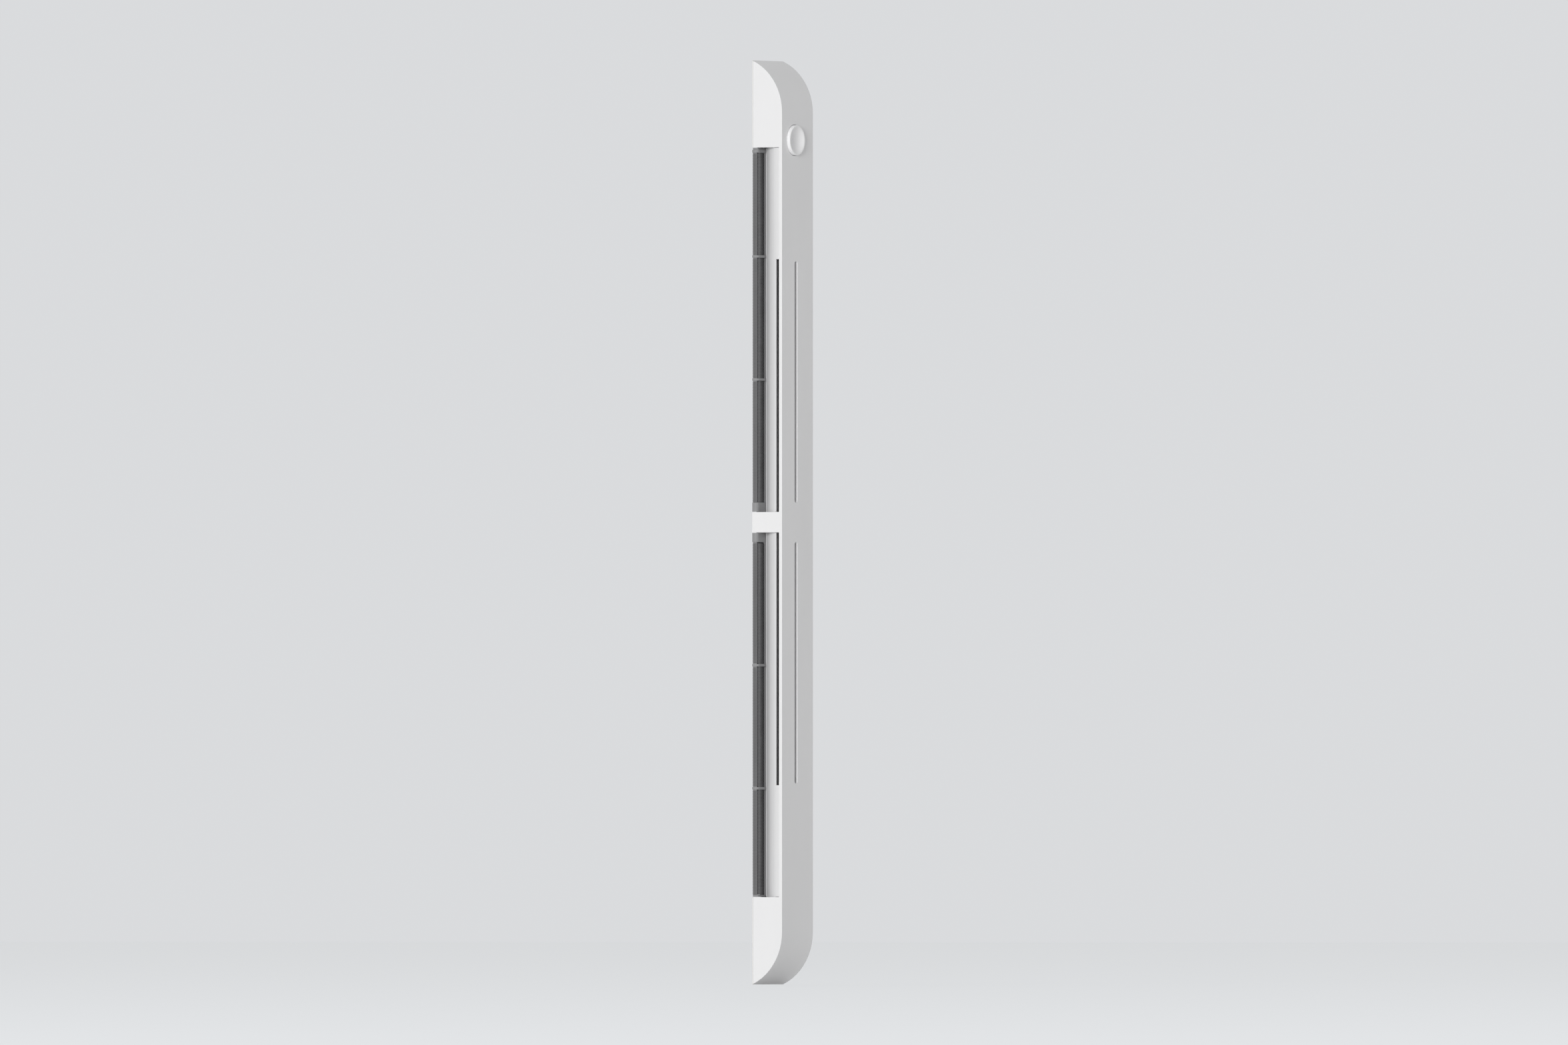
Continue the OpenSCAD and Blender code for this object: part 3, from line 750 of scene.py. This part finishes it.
@dataclass
class WovenScreen:
    """Fine woven mesh over one duct window, folded over the front rail and parted at the ribs."""

    node: str
    ribs_mm: tuple[tuple[float, float], ...]
    pitch_mm: float = 0.75
    wire: Wire = Wire(0.11, 5)
    fold_mm: float = 1.38
    rail_back_mm: float = -14.35
    rib_room_mm: float = 0.3
    points_per_pitch: int = 3
    smooth_deg: float = 60.0
    low: Vector = field(init=False)
    high: Vector = field(init=False)
    front: float = field(init=False)
    top: float = field(init=False)
    rise: float = field(init=False)
    turn: float = field(init=False)
    width: float = field(init=False)

    def build(self, shop: Workshop) -> bpy.types.Object:
        """Weaves the screen.

        Args:
            shop: The workshop that finishes the piece.

        Returns:
            The new object.
        """
        self.low, self.high = node_box_mm(self.node)
        wave = self.wire.radius_mm
        self.front = self.low.y + 2 * wave
        self.top = self.high.x - 2 * wave
        self.rise = self.top - self.fold_mm - self.low.x - wave
        self.turn = math.pi / 2 * self.fold_mm
        self.width = self.rise + self.turn + self.high.y - wave - self.front - self.fold_mm
        bm = bmesh.new()
        count = int((self.high.z - self.low.z - 2 * wave) / self.pitch_mm)
        for row in range(count + 1):
            self.weave_across(bm, row)
        for column in range(int(self.width / self.pitch_mm) + 1):
            self.weave_along(bm, column, count)
        return shop.piece(f"{self.node}_weave", bm, "screen_mesh", Body.HOUSING, (self.node,),
                          self.smooth_deg)

    def place(self, along: float, lift: float, z: float) -> Vector:
        """Returns a point on the folded screen.

        Args:
            along: Distance from the lower front edge, round the fold.
            lift: Distance out of the screen.
            z: Height.

        Returns:
            The point, in millimetres.
        """
        if along < self.rise:
            return Vector((self.low.x + self.wire.radius_mm + along, self.front - lift, z))
        if along < self.rise + self.turn:
            a = (along - self.rise) / self.fold_mm
            reach = self.fold_mm + lift
            return Vector((self.top - self.fold_mm + reach * math.sin(a),
                           self.front + self.fold_mm - reach * math.cos(a), z))
        return Vector((self.top + lift, self.front + self.fold_mm + along - self.rise - self.turn, z))

    def at_rib(self, z: float) -> bool:
        """Returns True where a rib of the cassette crosses the front rail."""
        return any(abs(z - middle) < width / 2 + self.rib_room_mm for middle, width in self.ribs_mm)

    def height(self, row: float) -> float:
        """Returns the height of a cross wire."""
        return self.low.z + self.wire.radius_mm + row * self.pitch_mm

    def weave_across(self, bm: bmesh.types.BMesh, row: int) -> None:
        """Adds one wire across the window.

        Args:
            bm: Mesh that takes the wire.
            row: Number of the wire, from the bottom.
        """
        z, wave = self.height(row), self.wire.radius_mm
        steps = int(self.width / self.pitch_mm * self.points_per_pitch)
        path = []
        for k in range(steps + 1):
            along = self.width * k / steps
            lift = wave * math.cos(math.pi * along / self.pitch_mm) * (-1) ** row
            point = self.place(along, lift, z)
            if point.y > self.rail_back_mm or not self.at_rib(z):
                path.append(point)
        self.wire.sweep(bm, path)

    def weave_along(self, bm: bmesh.types.BMesh, column: int, rows: int) -> None:
        """Adds one upright wire, in lengths between the ribs where it runs over the front rail.

        Args:
            bm: Mesh that takes the wire.
            column: Number of the wire, from the lower front edge.
            rows: Number of the last cross wire.
        """
        along, wave = column * self.pitch_mm, self.wire.radius_mm
        path = []
        for k in range(2 * rows + 1):
            z = self.height(k / 2)
            lift = -wave * math.cos(math.pi * k / 2) * (-1) ** column
            point = self.place(along, lift, z)
            if point.y > self.rail_back_mm or not self.at_rib(z):
                path.append(point)
            elif path:
                self.wire.sweep(bm, path)
                path = []
        if len(path) > 1:
            self.wire.sweep(bm, path)


@dataclass
class CoilSpring:
    """Compression spring with closed ends, wound at its rest length."""

    node: str
    joint: str
    axis: Axis
    fixed_high: bool
    travel_mm: float
    wire: Wire
    turns: float
    end_turns: float = 0.9
    steps: int = 28
    smooth_deg: float = 60.0

    def build(self, shop: Workshop) -> bpy.types.Object:
        """Winds the spring.

        Args:
            shop: The workshop that finishes the piece.

        Returns:
            The new object.
        """
        low, high = node_box_mm(self.node)
        middle = (low + high) / 2
        along = self.axis.value
        across = (along + 1) % 3
        other = (along + 2) % 3
        radius = (high[across] - low[across]) / 2 - self.wire.radius_mm
        length = high[along] - low[along]
        path = []
        count = int(self.turns * self.steps)
        for k in range(count + 1):
            turn = self.turns * k / count
            point = Vector((0, 0, 0))
            point[across] = middle[across] + radius * math.cos(2 * math.pi * turn)
            point[other] = middle[other] + radius * math.sin(2 * math.pi * turn)
            point[along] = low[along] + self.climb(turn, length)
            path.append(point)
        bm = bmesh.new()
        self.wire.sweep(bm, path)
        piece = shop.piece(f"{self.node}_coil", bm, "spring_steel", Body.HOUSING, (self.node,),
                           self.smooth_deg)
        anchor = middle.copy()
        anchor[along] = high[along] if self.fixed_high else low[along]
        direction = Vector((0, 0, 0))
        direction[along] = 1.0
        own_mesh(piece)
        return piece

    def climb(self, turn: float, length: float) -> float:
        """Finds how far the wire's middle has climbed, with closed turns at both ends.

        Args:
            turn: Turns wound so far.
            length: Length of the spring, in millimetres.

        Returns:
            The height above the lower end, in millimetres.
        """
        thick = 2 * self.wire.radius_mm
        end = thick * self.end_turns
        if turn < self.end_turns:
            return thick / 2 + thick * turn
        if turn > self.turns - self.end_turns:
            return length - thick / 2 - thick * (self.turns - turn)
        share = (turn - self.end_turns) / (self.turns - 2 * self.end_turns)
        return thick / 2 + end + (length - thick - 2 * end) * share


@dataclass
class PushButton:
    """Dished button with a soft rim and a flange behind the cover."""

    node: str = "control_button"
    cap_r_mm: float = 8.1
    rim_r_mm: float = 0.6
    rim_w_mm: float = 0.35
    dish_mm: float = 2.4
    flange_t_mm: float = 1.2
    wall_mm: float = 1.6
    roof_mm: float = 1.2
    soft_mm: float = 0.15
    fullness: float = 0.12
    rim_steps: int = 8
    dish_steps: int = 24
    steps: int = 96
    smooth_deg: float = 40.0

    def build(self, shop: Workshop) -> bpy.types.Object:
        """Turns the button.

        Args:
            shop: The workshop that finishes the piece.

        Returns:
            The new object.
        """
        low, high = node_box_mm(self.node)
        middle = (low + high) / 2
        flange_r = (high.y - low.y) / 2
        roof = high.x - self.dish_mm - self.roof_mm
        inner = self.cap_r_mm - self.wall_mm
        flange = low.x + self.flange_t_mm
        soft = self.soft_mm
        profile = [(0.0, roof), (inner - soft, roof), (inner, roof - soft)]
        profile += [(inner, low.x + soft), (inner + soft, low.x)]
        profile += [(flange_r - soft, low.x), (flange_r, low.x + soft), (flange_r, flange - soft)]
        profile += [(flange_r - soft, flange), (self.cap_r_mm + soft, flange), (self.cap_r_mm, flange + soft)]
        rim = (self.cap_r_mm - self.rim_r_mm, high.x - self.rim_r_mm)
        profile += arc_points(rim, self.rim_r_mm, 0, 90, self.rim_steps)
        edge = self.cap_r_mm - self.rim_r_mm - self.rim_w_mm
        for k in range(1, self.dish_steps + 1):
            share = 1 - k / self.dish_steps
            profile.append((edge * share, high.x - self.dish_mm * self.sink(share)))
        bm = bmesh.new()
        turn_profile(bm, profile, (middle.y, middle.z), self.steps)
        return shop.piece(f"{self.node}_cap", bm, "button_plastic", Body.BUTTON, (self.node,),
                          self.smooth_deg)

    def sink(self, share: float) -> float:
        """Returns the depth of the dish at a share of its radius, from 0 at the rim to 1 in the middle."""
        return (1 - share ** 2) * (1 + self.fullness * share ** 2)


@dataclass
class PanScrews:
    """Pan-head screws with a cross recess and a rolled thread."""

    node: str
    head_t_mm: float = 1.2
    shank_mm: float = 0.95
    root_mm: float = 0.76
    thread_mm: float = 0.5
    lead_mm: float = 0.4
    tip_mm: float = 0.1
    tip_share: float = 0.6
    edge_mm: float = 0.1
    skirt_mm: float = 0.35
    crown_share: float = 0.62
    crown_steps: int = 6
    recess_mm: float = 0.8
    recess_w_mm: float = 0.42
    recess_d_mm: float = 0.6
    recess_taper: float = 0.8
    steps: int = 32
    smooth_deg: float = 32.0

    def build(self, shop: Workshop) -> bpy.types.Object:
        """Makes one piece with every screw of the solid.

        Args:
            shop: The workshop that finishes the piece.

        Returns:
            The new object.
        """
        bm = bmesh.new()
        for low, high in islands_mm(self.node):
            self.add_screw(bm, low, high)
        return shop.piece(f"{self.node}_set", bm, "zinc_steel", Body.HOUSING, (self.node,),
                          self.smooth_deg)

    def add_screw(self, bm: bmesh.types.BMesh, low: Vector, high: Vector) -> None:
        """Adds one screw that fills its space.

        Args:
            bm: Mesh that takes the screw.
            low: Lowest corner of the space, in millimetres.
            high: Highest corner of the space, in millimetres.
        """
        middle = (low + high) / 2
        head_r = (high.y - low.y) / 2
        seat = high.x - self.head_t_mm
        profile = [(0.0, low.x), (self.root_mm * self.tip_share, low.x + self.tip_mm)]
        x = low.x + self.lead_mm
        while x < seat - self.thread_mm:
            profile += [(self.root_mm, x), (self.shank_mm, x + self.thread_mm / 2)]
            x += self.thread_mm
        profile += [(self.root_mm, x), (self.shank_mm, seat)]
        profile += [(head_r - self.edge_mm, seat), (head_r, seat + self.edge_mm)]
        crown = head_r * self.crown_share
        for k in range(1, self.crown_steps + 1):
            turn = math.radians(90 * k / self.crown_steps)
            profile.append((crown + (head_r - crown) * math.cos(turn),
                            seat + self.skirt_mm + (self.head_t_mm - self.skirt_mm) * math.sin(turn)))
        top = turn_profile(bm, profile, (middle.y, middle.z), self.steps)[-1]
        self.add_recess(bm, top, high.x, middle)

    def add_recess(self, bm: bmesh.types.BMesh, ring: list[bmesh.types.BMVert], x: float,
                   middle: Vector) -> None:
        """Sinks a cross into the flat top of a screw head.

        Args:
            bm: Mesh that takes the recess.
            ring: Edge of the flat top.
            x: Height of the flat top, in millimetres.
            middle: Middle of the screw, in millimetres.
        """
        far, near = self.recess_mm, self.recess_w_mm / 2
        quarter = [(far, -near), (far, near), (near, near)]
        outline = []
        for k in range(4):
            turn = Matrix.Rotation(math.pi / 2 * k, 2)
            outline += [turn @ Vector(point) for point in quarter]
        rim = [bm.verts.new(Vector((x, middle.y + p.x, middle.z + p.y)) * MM) for p in outline]
        deep = x - self.recess_d_mm
        foot = [p * self.recess_taper for p in outline]
        floor = [bm.verts.new(Vector((deep, middle.y + p.x, middle.z + p.y)) * MM) for p in foot]
        edges = [bm.edges.get((a, b)) or bm.edges.new((a, b)) for a, b in zip(ring, ring[1:] + ring[:1])]
        edges += [bm.edges.new((a, b)) for a, b in zip(rim, rim[1:] + rim[:1])]
        bmesh.ops.triangle_fill(bm, use_beauty=True, edges=edges)
        for k in range(len(rim)):
            bm.faces.new((rim[k - 1], rim[k], floor[k], floor[k - 1]))
        bm.faces.new(floor)


@dataclass
class BentLatch:
    """Spring wire bent into a follower for the heart-shaped groove."""

    node: str = "latch_wire"
    pivot_y_mm: float = 0.7
    bend_mm: float = 0.7
    sides: int = 12
    smooth_deg: float = 60.0

    def build(self, shop: Workshop) -> bpy.types.Object:
        """Bends the wire.

        Args:
            shop: The workshop that finishes the piece.

        Returns:
            The new object.
        """
        low, high = node_box_mm(self.node)
        wire = Wire((high.z - low.z) / 2, self.sides)
        r, z = wire.radius_mm, (low.z + high.z) / 2
        foot, tip, back = low.x + r, high.x - r, high.y - r
        corners = [(foot, self.pivot_y_mm), (foot, back), (tip, back), (tip, low.y)]
        bm = bmesh.new()
        wire.sweep(bm, wire.bend([Vector((x, y, z)) for x, y in corners], self.bend_mm))
        return shop.piece("latch_wire_bent", bm, "spring_steel", Body.LATCH, (self.node,),
                          self.smooth_deg)


@dataclass
class ProfiledFoam:
    """Acoustic foam with a waved face, glued into the cover."""

    node: str
    wave_mm: float = 6.0
    depth_mm: float = 2.4
    step_mm: float = 0.75
    smooth_deg: float = 50.0

    def build(self, shop: Workshop) -> bpy.types.Object:
        """Builds the foam.

        Args:
            shop: The workshop that finishes the piece.

        Returns:
            The new object.
        """
        low, high = node_box_mm(self.node)
        columns = round((high.y - low.y) / self.step_mm)
        rows = round((high.z - low.z) / self.step_mm)
        bm = bmesh.new()
        grid = []
        for i in range(columns + 1):
            y = low.y + (high.y - low.y) * i / columns
            line = []
            for j in range(rows + 1):
                z = low.z + (high.z - low.z) * j / rows
                wave = math.cos(2 * math.pi * y / self.wave_mm) * math.cos(2 * math.pi * z / self.wave_mm)
                line.append(bm.verts.new(Vector((low.x + self.depth_mm / 2 * (1 - wave), y, z)) * MM))
            grid.append(line)
        for i in range(columns):
            for j in range(rows):
                bm.faces.new((grid[i][j], grid[i + 1][j], grid[i + 1][j + 1], grid[i][j + 1]))
        rim = [line[0] for line in grid] + grid[-1][1:]
        rim += [line[-1] for line in grid[-2::-1]] + grid[0][-2:0:-1]
        back = [bm.verts.new((high.x * MM, vert.co.y, vert.co.z)) for vert in rim]
        for k in range(len(rim)):
            bm.faces.new((rim[k - 1], rim[k], back[k], back[k - 1]))
        bm.faces.new(back)
        piece = shop.piece(f"{self.node}_pad", bm, "foam", Body.HOUSING, (self.node,), self.smooth_deg)
        return piece


@dataclass
class StudioSet:
    """Floor, backdrop, lamp and camera."""

    azimuth_deg: float = 31.0
    elevation_deg: float = -0.6
    distance_m: float = 20.0
    lens_mm: float = 866.0
    sensor_mm: float = 36.0
    sight_m: float = 200.0
    floor_m: float = 60.0
    floor_gap_m: float = 0.0004
    paper: StudioPaper = StudioPaper("pale_paper", (0.425, 0.447, 0.47), 0.455, (0.85, 0.85, 0.85))
    backdrop: Point = (0.70, 0.71, 0.725)
    surround: tuple[float, float] = (0.53, 0.33)
    rear: float = 0.7
    rear_from: float = 0.2
    rear_way: Point = (-0.75, 0.64, 0.17)
    key_place_m: Point = (7.2, -28.8, 4.0)
    key_size_m: float = 8.4
    key_watts: float = 4800.0

    def build(self) -> None:
        """Sets up the whole stage."""
        self.build_floor()
        self.build_world()
        self.build_lamp()
        self.build_camera()

    def build_floor(self) -> None:
        """Lays a pale floor just under the vent."""
        low = CAD_BOX[0][2] - self.floor_gap_m
        half = self.floor_m / 2
        corners = ((-half, -half), (half, -half), (half, half), (-half, half))
        bm = bmesh.new()
        bm.faces.new([bm.verts.new((x, y, low)) for x, y in corners])
        mesh = bpy.data.meshes.new("studio_floor")
        bm.to_mesh(mesh)
        bm.free()
        mesh.materials.append(self.paper.make())
        floor = bpy.data.objects.new("studio_floor", mesh)
        bpy.context.collection.objects.link(floor)

    def build_world(self) -> None:
        """Gives a pale surround that lights every side, less so from above and more so from behind."""
        world = bpy.data.worlds.new("studio_world")
        bpy.context.scene.world = world
        tree = NodeTree(world)
        place = tree.add("ShaderNodeTexCoord")
        split = tree.add("ShaderNodeSeparateXYZ")
        tree.join(place, "Generated", split, "Vector")
        level = tree.map_range(split, "Z", (0.0, 1.0, *self.surround))
        behind = tree.add("ShaderNodeVectorMath", operation="DOT_PRODUCT")
        behind.inputs[1].default_value = self.rear_way
        tree.join(place, "Generated", behind, 0)
        back = tree.map_range(behind, "Value", (self.rear_from, 1.0, 0.0, self.rear))
        total = tree.add("ShaderNodeMath", operation="ADD")
        tree.join(level, "Result", total, 0)
        tree.join(back, "Result", total, 1)
        light = tree.add("ShaderNodeBackground", Color=(1.0, 1.0, 1.0, 1.0))
        tree.join(total, 0, light, "Strength")
        backdrop = tree.add("ShaderNodeBackground", Color=(*self.backdrop, 1.0))
        out = tree.add("ShaderNodeOutputWorld")
        tree.join(tree.choose(light, backdrop), 0, out, "Surface")

    def build_lamp(self) -> None:
        """Hangs a broad square lamp in front, a little to the side, and aims it at the vent."""
        data = bpy.data.lights.new("key_softbox", "AREA")
        data.size = self.key_size_m
        data.energy = self.key_watts
        lamp = bpy.data.objects.new("key_softbox", data)
        lamp.location = self.key_place_m
        lamp.rotation_euler = (-Vector(self.key_place_m)).to_track_quat("-Z", "Y").to_euler()
        bpy.context.collection.objects.link(lamp)

    def build_camera(self) -> None:
        """Places the camera at the photograph's angle and distance, with a longer lens."""
        turn, tilt = math.radians(self.azimuth_deg), math.radians(self.elevation_deg)
        low, high = (Vector(corner) for corner in CAD_BOX)
        middle = (low + high) / 2
        away = Vector((math.sin(turn) * math.cos(tilt), -math.cos(turn) * math.cos(tilt), math.sin(tilt)))
        data = bpy.data.cameras.new("photo_camera")
        data.lens = self.lens_mm
        data.sensor_width = self.sensor_mm
        data.clip_end = self.sight_m
        camera = bpy.data.objects.new("photo_camera", data)
        camera.location = middle + away * self.distance_m
        camera.rotation_euler = (-away).to_track_quat("-Z", "Y").to_euler()
        bpy.context.collection.objects.link(camera)
        bpy.context.scene.camera = camera


MOULDINGS = (
    SoftMoulding("cover_shell", "white_plastic", 0.2),
    SoftMoulding("mounting_base", "base_plastic", 0.12),
    SoftMoulding("air_guide", "white_plastic", 0.15),
    SoftMoulding("control_cassette", "grey_plastic", 0.04),
    SoftMoulding("slotted_grid_upper", "dark_plastic", 0.08),
    SoftMoulding("slotted_grid_lower", "dark_plastic", 0.08),
    SoftMoulding("shutter_strip", "dark_plastic", 0.05, Body.SHUTTER),
    SoftMoulding("shutter_lug", "base_plastic", 0.15, Body.SHUTTER),
    SoftMoulding("lug_rivets", "zinc_steel", 0.25, Body.SHUTTER),
    SoftMoulding("button_stem", "base_plastic", 0.12, Body.BUTTON),
    SoftMoulding("button_bracket", "base_plastic", 0.15),
    SoftMoulding("spring_anchor", "base_plastic", 0.2),
    SoftMoulding("cover_clips", "spring_steel", 0.06),
    SoftMoulding("wall_seal", "seal_rubber", 0.2),
)
RIBS_MM = ((75.75, 1.3), (141.0, 1.3))
UPPER_END_RIB_MM = (196.75, 1.5)
DETAILS = (
    WovenScreen("insect_screen_upper", (*RIBS_MM, UPPER_END_RIB_MM)),
    WovenScreen("insect_screen_lower", tuple((-middle, width) for middle, width in RIBS_MM)),
    CoilSpring("button_spring", "button_press", Axis.X, False, 3.0, Wire(0.3, 8), 3.2),
    CoilSpring("return_spring", "shutter_slide", Axis.Z, True, 4.5, Wire(0.35, 8), 7.0),
    PushButton(),
    PanScrews("guide_screws"),
    PanScrews("bracket_screws"),
    BentLatch(),
    ProfiledFoam("acoustic_foam_upper"),
    ProfiledFoam("acoustic_foam_lower"),
)


def main() -> None:
    """Builds every piece of the vent in order, then the stage."""
    logging.basicConfig(level=logging.INFO, format="%(name)s: %(message)s")
    bpy.context.scene.view_settings.view_transform = "Standard"
    shop = Workshop()
    shop.dress_solids()
    for maker in (*MOULDINGS, *DETAILS):
        maker.build(shop)
    StudioSet().build()
    LOG.info("%d pieces made", shop.pieces)


if __name__ == "__main__":
    main()
